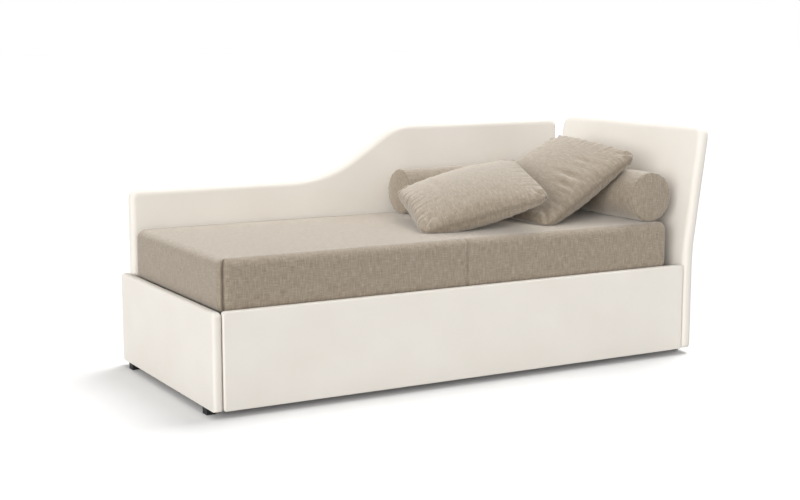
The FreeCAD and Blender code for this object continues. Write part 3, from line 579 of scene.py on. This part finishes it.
# %% Front panel
middle, size = middle_and_size("front_cover")
FRONT_ROUND = 0.006
form = slab(size[0], size[2] + FRONT_ROUND, size[1], FRONT_ROUND,
            corner=FRONT_ROUND + 0.008, step=0.036, fine=0.004)
form["c"] = form["c"] + crown(form, rise=0.0012)
points = cut_flat(rimmed(form)[:, [0, 2, 1]] + middle - (0, 0, FRONT_ROUND / 2), middle[2] - size[2] / 2)
front_panel = piece("front_panel_upholstery", points, form["quads"], cream, "second_bed")
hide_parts("front_cover")
print("front panel", len(points), "points")

# %% [markdown]
# The back panel's top edge runs level, rises in an S and runs level again. The inset outline is
# worked out as two arcs and a slope, with the lower arc's radius grown and the upper arc's shrunk
# by the rim's radius, and the lattice is lifted under it. The outward direction on the top edge
# follows the slope of that curve.

# %% Back panel
BACK_ROUND = 0.020
BACK_CORNER = 0.030
BACK_LOW = 0.722
RISE_START = 0.714
RISE_LOWER = 0.570
RISE_UPPER = 0.250
RISE_TURN = math.radians(34)
ARC_POINTS = 60
GRADE_STEP = 0.001


def rise_curve(along, low, high, inset):
    """Height of the inset top edge above its low part, at distances from the panel's foot end:
    level, an arc that turns up, a straight slope, an arc that turns level, level."""
    lower, upper = RISE_LOWER + inset, RISE_UPPER - inset
    turn = np.linspace(0, RISE_TURN, ARC_POINTS)
    straight = high - low - (lower + upper) * (1 - math.cos(RISE_TURN))
    first_x = RISE_START + lower * np.sin(turn)
    first_z = lower * (1 - np.cos(turn))
    end_x = first_x[-1] + straight / math.tan(RISE_TURN)
    last_x = end_x + upper * (math.sin(RISE_TURN) - np.sin(turn[::-1]))
    last_z = high - low - upper * (1 - np.cos(turn[::-1]))
    return np.interp(along, np.concatenate([first_x, last_x]), np.concatenate([first_z, last_z]))


middle, size = middle_and_size("back_cover")
low, high = (np.array(v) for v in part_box("back_cover"))
low_height = BACK_LOW - low[2] + BACK_ROUND
form = slab(size[0], low_height, size[1], BACK_ROUND, BACK_CORNER, step=0.024, fine=0.005)
along = form["a"] + size[0] / 2
share = np.clip((form["b"] + low_height / 2 - BACK_ROUND) / (low_height - 2 * BACK_ROUND), 0, 1)
lift = rise_curve(along, BACK_LOW, high[2], BACK_ROUND)
grade = (rise_curve(along + GRADE_STEP, BACK_LOW, high[2], BACK_ROUND) - lift) / GRADE_STEP
on_top = np.clip(form["nb"], 0, 1)
slant_a, slant_b = form["na"] - grade * on_top, form["nb"]
length = np.maximum(np.hypot(slant_a, slant_b), TINY)
form["na"], form["nb"] = slant_a / length, slant_b / length
form["b"] = form["b"] + lift * share
form["c"] = form["c"] + crown(form, rise=0.002)
points = rimmed(form)[:, [0, 2, 1]] + np.array([middle[0], middle[1], BACK_LOW - low_height / 2])
points = cut_flat(points, low[2])
back_panel = piece("back_panel_upholstery", points, form["quads"], cream, "bed_frame")
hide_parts("back_cover")
print("back panel", len(points), "points")

# %% [markdown]
# The headboard is the same slab set across the bed. It stands upright to a little above the
# mattress's middle and then leans outwards, so every point is moved out by a ramp with a soft
# foot. Its top edge sinks a little towards the back corner.

# %% Headboard
HEAD_ROUND = 0.021
HEAD_THICK = 0.052
HEAD_CORNER = 0.040
LEAN_START, LEAN_END, LEAN_OUT = 0.440, 0.958, 0.073
LEAN_SLOPE = LEAN_OUT / (LEAN_END - LEAN_START)
LEAN_SOFT = 0.060
TOP_SINK = 0.004
SINK_FROM_Y, SINK_OVER_Y = 0.17, 0.32
SINK_FROM_Z, SINK_OVER_Z = 0.60, 0.36


def soft_ramp(x, soft):
    """Nothing below zero and x above it, with a parabola from -soft to soft between them."""
    return np.where(x > soft, x, np.where(x < -soft, 0, (x + soft) ** 2 / (4 * soft)))


middle, size = middle_and_size("headboard_cover")
low = np.array(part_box("headboard_cover")[0])
form = slab(size[1], size[2] + HEAD_ROUND, HEAD_THICK, HEAD_ROUND, HEAD_CORNER, step=0.022, fine=0.005)
form["c"] = form["c"] + crown(form, rise=0.003)
upright = np.array([low[0] + HEAD_THICK / 2, middle[1], middle[2] - HEAD_ROUND / 2])
points = cut_flat(rimmed(form)[:, [2, 0, 1]] + upright, low[2])
toward_back = np.clip((points[:, 1] - SINK_FROM_Y) / SINK_OVER_Y, 0, 1)
high_up = np.clip((points[:, 2] - SINK_FROM_Z) / SINK_OVER_Z, 0, 1)
points[:, 2] -= TOP_SINK * toward_back ** 1.5 * high_up ** 2
points[:, 0] += LEAN_SLOPE * soft_ramp(points[:, 2] - LEAN_START, LEAN_SOFT)
headboard = piece("headboard_upholstery", points, form["quads"], cream, "bed_frame")
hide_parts("headboard_cover")
print("headboard", len(points), "points")

# %% [markdown]
# ## Mattresses
#
# The main mattress wears a fitted cover: an upright seam at each corner and one in the middle of
# the long sides. The seams are grooves, pressed into columns of points that stand close together
# there, and painted shade darkens them, in full at the corners and a quarter in the middle.

# %% Main mattress
MATTRESS_ROUND = 0.028
MATTRESS_CORNER = 0.038
SEAM_X = -0.0507
SEAM_DEPTH = 0.006
# Strength of the painted shade in the corner seams and in the middle seams.
CORNER_SEAM_SHADE, SIDE_SEAM_SHADE = 1.0, 0.25
AT_EDGE = 0.99999

middle, size = middle_and_size("mattress_cover")
form = slab(*size, MATTRESS_ROUND, MATTRESS_CORNER, step=0.020, fine=0.0045, rim_cells=12,
            creases=(SEAM_X - middle[0],))
form["c"] = form["c"] + crown(form, rise=0.002)
at_side = np.abs(form["t"]) > AT_EDGE
at_corner = (np.abs(form["s"]) > AT_EDGE) & at_side
at_seam = (np.abs(form["s"] * size[0] / 2 + middle[0] - SEAM_X) < 1e-4) & at_side
form["out"] = form["out"] - SEAM_DEPTH * (at_corner | at_seam) * np.sin(math.pi * form["w"]) ** 0.3
points = rimmed(form) + middle
mattress = piece("mattress_fitted_cover", points, form["quads"], taupe, "mattress")
# Painted shade in the seam grooves, darkest at the corners.
mark_seam_shade(mattress, np.where(at_corner, CORNER_SEAM_SHADE, np.where(at_seam, SIDE_SEAM_SHADE, 0.0)))
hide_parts("mattress_cover", "mattress_core")
print("mattress", len(points), "points")

# %% Second mattress
TUFT_LONG, TUFT_WIDE, TUFT_DEPTH = 0.095, 0.1, 0.004

middle, size = middle_and_size("trundle_mattress_cover")
form = slab(*size, radius=0.024, corner=0.060, step=0.026, fine=0.005)
points = rimmed(form)
tufts = np.sin(points[:, 0] * math.pi / TUFT_LONG) ** 2 * np.sin(points[:, 1] * math.pi / TUFT_WIDE) ** 2
points[:, 2] -= TUFT_DEPTH * (1 - tufts) * (form["w"] > 0.999)
points = points + middle
second_mattress = piece("second_mattress", points, form["quads"], ticking, "second_bed")
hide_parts("trundle_mattress_cover", "trundle_mattress_core")
print("second mattress", len(points), "points")

# %% [markdown]
# ## Bolsters
#
# A bolster is a sewn tube with a round of cloth at each end. It is a surface of revolution: the
# profile runs from the middle of one end out to the seam, along the roll, and back to the middle
# of the other end. Stuffing swells the ends, the seam lies in a shallow groove with small gathers
# beside it, and the roll is flat where it lies on the mattress.

# %% Roll surface
END_SOFT = 0.011
END_SWELL = 0.012
END_RINGS, BEND_RINGS = 13, 7
GROOVE_DEPTH, GROOVE_TURN, GROOVE_SPREAD = 0.0012, 0.8, 0.02
GATHER_DEPTH, GATHER_COUNT, GATHER_REACH = 0.0013, 23, 0.022
UNEVEN = 0.0012


def roll(length, radius, around, along):
    """A roll along a, round the origin. The profile is a swollen end, a bend with the seam's
    groove, a barrel and the other end; each ring of points is that profile's radius turned through
    the full circle, with one point at each pole. Gives points, quads, end triangles and the cloth
    coordinates of both: unrolled on the barrel, flat on the ends."""
    end = np.linspace(0, 1, END_RINGS + 1)[1:]
    cap_r = (radius - END_SOFT) * end
    cap_a = -length / 2 - END_SWELL * (1 - end ** 2)
    bend = np.linspace(0, math.pi / 2, BEND_RINGS + 1)[1:]
    groove = GROOVE_DEPTH * np.exp(-(bend - GROOVE_TURN) ** 2 / GROOVE_SPREAD)
    ridge_r = radius - END_SOFT + (END_SOFT - groove) * np.sin(bend)
    ridge_a = -length / 2 + END_SOFT * (1 - np.cos(bend))
    barrel_a = np.linspace(-1, 1, along) * (length / 2 - 2 * END_SOFT)
    barrel_r = np.full(along, radius)
    r = np.concatenate([cap_r, ridge_r, barrel_r, ridge_r[::-1], cap_r[::-1]])
    a = np.concatenate([cap_a, ridge_a, barrel_a, -ridge_a[::-1], -cap_a[::-1]])
    turn = np.arange(around) * 2 * math.pi / around
    from_seam = np.minimum(np.abs(a + length / 2), np.abs(a - length / 2))[:, None]
    folds = np.sin(turn * GATHER_COUNT + 2 * np.sin(turn * 3))
    gathers = GATHER_DEPTH * folds * np.exp(-from_seam / GATHER_REACH)
    uneven = UNEVEN * np.sin(turn * 2 + a[:, None] * 9) * np.sin(a[:, None] * 17 + turn)
    r = r[:, None] + (gathers + uneven) * np.minimum(1, r[:, None] / radius) ** 2
    rings = np.stack([np.repeat(a[:, None], around, 1), r * np.cos(turn), r * np.sin(turn)], -1)
    poles = np.array([[-length / 2 - END_SWELL, 0, 0], [length / 2 + END_SWELL, 0, 0]])
    number = np.arange(len(r) * around).reshape(len(r), around)
    number = np.concatenate([number, number[:, :1]], 1)
    first_pole, last_pole = len(r) * around, len(r) * around + 1
    fans = np.concatenate([
        np.stack([np.full(around, first_pole), number[0, :-1], number[0, 1:]], -1),
        np.stack([np.full(around, last_pole), number[-1, 1:], number[-1, :-1]], -1),
    ])
    whole = np.concatenate([rings, rings[:, :1]], 1)
    unrolled = np.broadcast_to(np.arange(around + 1) * 2 * math.pi * radius / around, whole.shape[:2])
    row = np.arange(len(r) - 1)
    on_end = (row < len(cap_r)) | (row >= len(r) - 1 - len(cap_r))
    barrel = np.stack([whole[..., 0], unrolled], -1)
    flat = np.where(on_end[:, None, None, None], corners_of(whole[..., 1:]), corners_of(barrel))
    pole = np.zeros((around, 2))
    first, last = whole[0, :, 1:], whole[-1, :, 1:]
    flat_fans = np.concatenate([
        np.stack([pole, first[:-1], first[1:]], 1),
        np.stack([pole, last[1:], last[:-1]], 1),
    ])
    points = np.concatenate([rings.reshape(-1, 3), poles])
    return points, cells_of(number), fans, flat.reshape(-1, 4, 2), flat_fans


# %% [markdown]
# ## Pillows
#
# Two squares of cloth sewn together and stuffed. The cloth simulation does what stuffing does: it
# starts from a lens and swells it with pressure, and the seam draws in between the corners.
# Puckers beside the seam, a tuck at each corner and a few dents are then pressed in.

# %% Sewn square
STUFF_QUALITY = 6
STUFF_BENDING = 0.1


def sewn_square(side, cells, thick, fuller):
    """Two square nets that share their border, as a lens: each net stands off by an arch of both
    parameters, with a root taken so that it is full near the border. The fuller pair slopes the
    arch, so that the stuffing sinks to one side. Gives points and quads."""
    run = np.linspace(-1, 1, cells + 1)
    s, t = np.meshgrid(run, run, indexing="ij")
    rise = thick / 2 * ((1 - s ** 2) * (1 - t ** 2)) ** 0.5 * (1 + fuller[0] * s + fuller[1] * t)
    border = (np.abs(s) == 1) | (np.abs(t) == 1)
    upper = np.arange(s.size).reshape(s.shape)
    lower = upper.copy()
    lower[~border] = s.size + np.arange((~border).sum())
    top = np.stack([s * side / 2, t * side / 2, rise], -1).reshape(-1, 3)
    under = np.stack([s * side / 2, t * side / 2, -rise], -1)[~border]
    return np.concatenate([top, under]), np.concatenate([cells_of(upper), cells_of(lower)[:, ::-1]])


def stuffed(points, faces, frames, pressure, cap):
    """Swells a closed net of cloth with pressure and no gravity, and gives the points after some
    frames. No point goes further than cap."""
    mesh = bpy.data.meshes.new("stuffing")
    mesh.from_pydata(points.tolist(), [], faces.tolist())
    bag = bpy.data.objects.new("stuffing", mesh)
    scene.collection.objects.link(bag)
    cloth = bag.modifiers.new("stuffing", "CLOTH")
    cloth.settings.quality = STUFF_QUALITY
    cloth.settings.use_pressure = True
    cloth.settings.uniform_pressure_force = pressure
    cloth.settings.effector_weights.gravity = 0
    cloth.settings.bending_stiffness = STUFF_BENDING
    cloth.collision_settings.use_collision = False
    cloth.point_cache.frame_start = 1
    cloth.point_cache.frame_end = frames
    for number in range(1, frames + 1):
        scene.frame_set(number)
    swollen = bag.evaluated_get(bpy.context.evaluated_depsgraph_get())
    moved = np.empty(points.size)
    swollen.data.vertices.foreach_get("co", moved)
    bpy.data.objects.remove(bag)
    bpy.data.meshes.remove(mesh)
    scene.frame_set(1)
    step = moved.reshape(-1, 3) - points
    far = np.linalg.norm(step, axis=1, keepdims=True)
    print("stuffed: moved up to", round(far.max() * 1000), "mm, mean", round(far.mean() * 1000), "mm")
    return points + step * np.minimum(1, cap / np.maximum(far, 1e-9))


# %% Pillow folds and poses
WAVE_DEPTH, WAVE_REACH, WAVE_START = 0.0036, 0.035, 0.010
SHORT_WAVE, LONG_WAVE, LONG_SHARE = 0.031, 0.053, 0.9
FAN_DEPTH, FAN_FOLDS, FAN_START = 0.004, 9, 0.12
CORNER_SPREAD, CORNER_DRAW = 0.035, 0.035
TIP_SPREAD, TIP_DRAW = 0.003, 0.075
TUCK_DEPTH, TUCK_FROM_TIP, TUCK_HALF_LENGTH, TUCK_HALF_WIDTH = 0.011, 0.050, 0.030, 0.011


def turned(turn, tilt, roll_angle):
    """Turn about Z, then tilt about the turned Y, then roll about the turned X, in degrees."""
    turns = (Matrix.Rotation(math.radians(turn), 3, "Z") @ Matrix.Rotation(math.radians(tilt), 3, "Y")
             @ Matrix.Rotation(math.radians(roll_angle), 3, "X"))
    return np.array(turns)


def puckered(points, side, seed):
    """Folds the cloth as its seam does: waves along each edge that fade over a few centimetres,
    and corners drawn in, their tips the most, with folds that fan out from them and one tuck along
    the diagonal, a bell along it and a groove with two lips across. The folds are along the local
    z, away from the middle plane."""
    across, up = points[:, 0] / side * 2, points[:, 1] / side * 2
    shift = np.random.default_rng(seed).uniform(0, 2 * math.pi, 8)
    folds = np.zeros(len(points))
    for number, (near, along) in enumerate(((across, up), (up, across))):
        for sign, offset in ((1, 0), (-1, 2)):
            from_edge = np.clip(1 - sign * near, 0, None) * side / 2
            short = np.sin(along * side / SHORT_WAVE * math.pi + shift[number + offset])
            long = np.sin(along * side / LONG_WAVE * math.pi + shift[number + offset + 4])
            fade = np.exp(-from_edge / WAVE_REACH) * np.minimum(1, from_edge / WAVE_START)
            folds += WAVE_DEPTH * (short + LONG_SHARE * long) * fade
    off_a, off_b = 1 - np.abs(across), 1 - np.abs(up)
    corner = np.exp(-(off_a ** 2 + off_b ** 2) / CORNER_SPREAD)
    fan = np.sin(np.arctan2(off_b, np.maximum(off_a, 1e-6)) * FAN_FOLDS + shift[0])
    folds += FAN_DEPTH * fan * corner * np.minimum(1, np.hypot(off_a, off_b) / FAN_START)
    beside = (off_a - off_b) * side / 2 / math.sqrt(2) / TUCK_HALF_WIDTH
    inwards = ((off_a + off_b) * side / 2 / math.sqrt(2) - TUCK_FROM_TIP) / TUCK_HALF_LENGTH
    folds -= TUCK_DEPTH * (1 - beside ** 2) * np.exp(-beside ** 2 / 2 - inwards ** 2)
    made = points.copy()
    tip = np.exp(-(off_a ** 2 + off_b ** 2) / TIP_SPREAD)
    made[:, :2] *= 1 - CORNER_DRAW * corner[:, None] - TIP_DRAW * tip[:, None]
    made[:, 2] += np.sign(points[:, 2]) * folds
    return made


def dented(points, side, dents):
    """Presses short folds into the upper net. Each dent has a middle, a half length along the
    local y, a half width and a depth; it is a bell across and a bell along, with a lower ridge on
    both sides."""
    made = points.copy()
    for (at_s, at_t), long, wide, deep in dents:
        over = (points[:, 0] / side * 2 - at_s) * side / 2 / wide
        along = (points[:, 1] / side * 2 - at_t) * side / 2 / long
        made[:, 2] -= deep * (1 - over ** 2) * np.exp(-over ** 2 / 2 - along ** 2) * (points[:, 2] > 0)
    return made


def clear_of_roll(points, x, z, radius):
    """Points inside a roll along y are set out to its surface and a little more, straight from its
    axis."""
    off = points[:, [0, 2]] - np.array([x, z])
    far = np.linalg.norm(off, axis=1, keepdims=True)
    made = points.copy()
    made[:, [0, 2]] += off / np.maximum(far, 1e-6) * np.maximum(radius + ROLL_CLEAR - far, 0)
    return made


# %% Pillows in place
# Each pillow has its turn, tilt and roll in degrees, the side its stuffing sinks to, and its dents.
PILLOWS = {
    "right_pillow": ((0, -31.2, 5.9), (-0.20, -0.05), (
        ((-0.04, -0.56), 0.052, 0.015, 0.0085),
        ((-0.24, -0.70), 0.042, 0.013, 0.0070),
        ((0.34, -0.48), 0.038, 0.013, 0.0045),
    )),
    "left_pillow": ((-20.7, -14.5, 11.4), (-0.10, -0.20), (
        ((-0.45, 0.20), 0.070, 0.016, 0.003),
    )),
}
PILLOW_SIDE, PILLOW_THICK, PILLOW_CELLS = 0.555, 0.132, 64
# Strength of the painted shade along the seam where the two squares meet.
PILLOW_SEAM_SHADE = 0.35
STUFF_FRAMES, STUFF_PRESSURE, STUFF_REACH = 14, 0.9, 0.050
ROLL_CLEAR = 0.0012
REST_HEIGHT = float(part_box("mattress_cover")[1][2]) + 0.0005
roll_middle, roll_size = middle_and_size("head_bolster_cover")

for number, (name, (angles, fuller, dents)) in enumerate(PILLOWS.items()):
    base_points, base_faces = sewn_square(PILLOW_SIDE, PILLOW_CELLS, PILLOW_THICK, fuller)
    filled = stuffed(base_points, base_faces, STUFF_FRAMES, STUFF_PRESSURE, STUFF_REACH)
    filled = dented(puckered(filled, PILLOW_SIDE, number), PILLOW_SIDE, dents)
    print(name, "across, along and through", np.round(np.ptp(filled, 0), 3))
    placed = filled @ turned(*angles).T + middle_and_size(name + "_cover")[0]
    points = clear_of_roll(placed, roll_middle[0], roll_middle[2], roll_size[2] / 2)
    points = cut_flat(points, REST_HEIGHT)
    made = piece(name + "_slip", points, base_faces, taupe, name, flat=filled)
    # Painted shade along the border seam.
    mark_seam_shade(made, PILLOW_SEAM_SHADE * (np.abs(base_points[:, :2]).max(1) > 0.4999 * PILLOW_SIDE))
    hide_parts(name + "_cover", name + "_pad")

# %% Bolsters in place
SEAM_INSET, SEAM_HALF_WIDTH = 0.0035, 0.0012
# Strength of the painted shade in the seam grooves near both ends.
BOLSTER_SEAM_SHADE = 0.30
ROLL_AROUND, ROLL_ALONG = 144, 60
COVER_SLACK = 0.002

for name, axis in (("back_bolster", 0), ("head_bolster", 1)):
    middle, size = middle_and_size(name + "_cover")
    length, radius = size[axis], size[2] / 2
    rings, *parts = roll(length - 2 * END_SWELL, radius - COVER_SLACK, ROLL_AROUND, ROLL_ALONG)
    points = rings
    if axis == 1:
        points = rings[:, [1, 0, 2]]
        parts = [part[:, ::-1] for part in parts]
    quads, fans, flat, flat_fans = parts
    points = cut_flat(points + middle, REST_HEIGHT)
    laid = np.concatenate([flat.ravel(), flat_fans.ravel()])
    faces = quads.tolist() + fans.tolist()
    made = sewn(name + "_sleeve", points, faces, laid, taupe, name)
    # Painted shade in the seam groove near each end of the roll.
    at_ends = np.abs(np.abs(rings[:, 0]) - (length / 2 - END_SWELL - SEAM_INSET)) < SEAM_HALF_WIDTH
    mark_seam_shade(made, BOLSTER_SEAM_SHADE * (at_ends & (np.hypot(rings[:, 1], rings[:, 2]) > 0.8 * radius)))
    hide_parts(name + "_cover", name + "_core")
    print(name, len(points), "points")

# %% [markdown]
# ## Bare pieces
#
# The rails, slats, boards, brackets, feet and castors keep their own shape from the frame. Each
# takes the finish that its record names.

# %% Finishes on the bare pieces
slot_of = {row["node"]: row["material_slot"] for row in frame["record"]["subparts"]}
dressed = 0
for name, bare in frame["nodes"].items():
    if bare.hide_render:
        continue
    made = FINISHES.get(slot_of.get(name))
    if made is None:
        print("no finish for", name, slot_of.get(name))
        continue
    bare.data.materials.clear()
    bare.data.materials.append(made)
    dressed += 1
print("bare pieces dressed", dressed)

# %% Size of the dressed part
low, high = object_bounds()
print("visual", [round(v, 4) for v in (*low, *high)])
